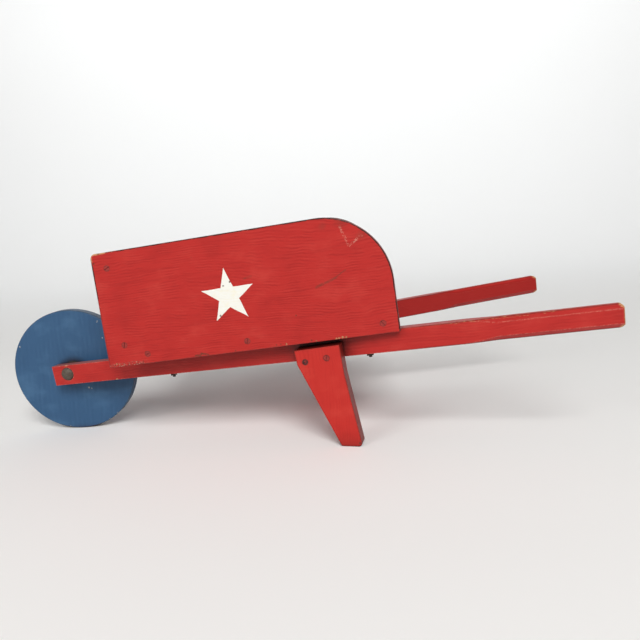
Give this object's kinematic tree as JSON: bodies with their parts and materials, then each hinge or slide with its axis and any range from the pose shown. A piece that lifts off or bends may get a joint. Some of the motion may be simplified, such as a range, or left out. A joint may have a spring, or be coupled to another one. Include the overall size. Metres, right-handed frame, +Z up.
{
  "type": "wooden wheelbarrow",
  "caption": "Child's painted wooden wheelbarrow: solid disc wheel between splayed handle rails, open-backed tapered box, plank legs.",
  "frame": {"origin": "on the ground, under the middle of the whole barrow as it stands on its wheel and legs", "axes": "+X back towards the handles, +Y to the right of whoever pushes it, +Z up; the wheel is at the -X end"},
  "size_m": [0.9262, 0.402, 0.3286],
  "materials": {
    "red_paint": "worn satin red paint over raised softwood grain",
    "blue_paint": "worn satin blue paint over wood",
    "rusty_steel": "dark, lightly rusted steel",
    "painted_steel": "screw heads painted over with the wood"
  },
  "bodies": {
    "barrow": {"axle_bolt": "rusty_steel", "axle_washer": "rusty_steel", "axle_nut": "rusty_steel", "hub_washer_left": "rusty_steel", "hub_washer_right": "rusty_steel", "handle_rail_left": "red_paint", "handle_rail_right": "red_paint", "floor_board": "red_paint", "front_panel": "red_paint", "side_panel_left": "red_paint", "side_panel_right": "red_paint", "leg_left": "red_paint", "leg_right": "red_paint", "floor_bolts_left": "rusty_steel", "floor_bolts_right": "rusty_steel", "floor_bolt_nuts_left": "rusty_steel", "floor_bolt_nuts_right": "rusty_steel", "floor_edge_screws_left": "painted_steel", "floor_edge_screws_right": "painted_steel", "front_panel_screws_left": "painted_steel", "front_panel_screws_right": "painted_steel", "leg_screws_left": "painted_steel", "leg_screws_right": "painted_steel"},
    "wheel_disc": {"wheel": "blue_paint"}
  },
  "joints": [
    {"name": "wheel_spin", "type": "hinge", "parent": "barrow", "child": "wheel_disc", "pos_m": [-0.36151, 0, 0.1016], "axis": [0, 1, 0], "continuous": true}
  ]
}
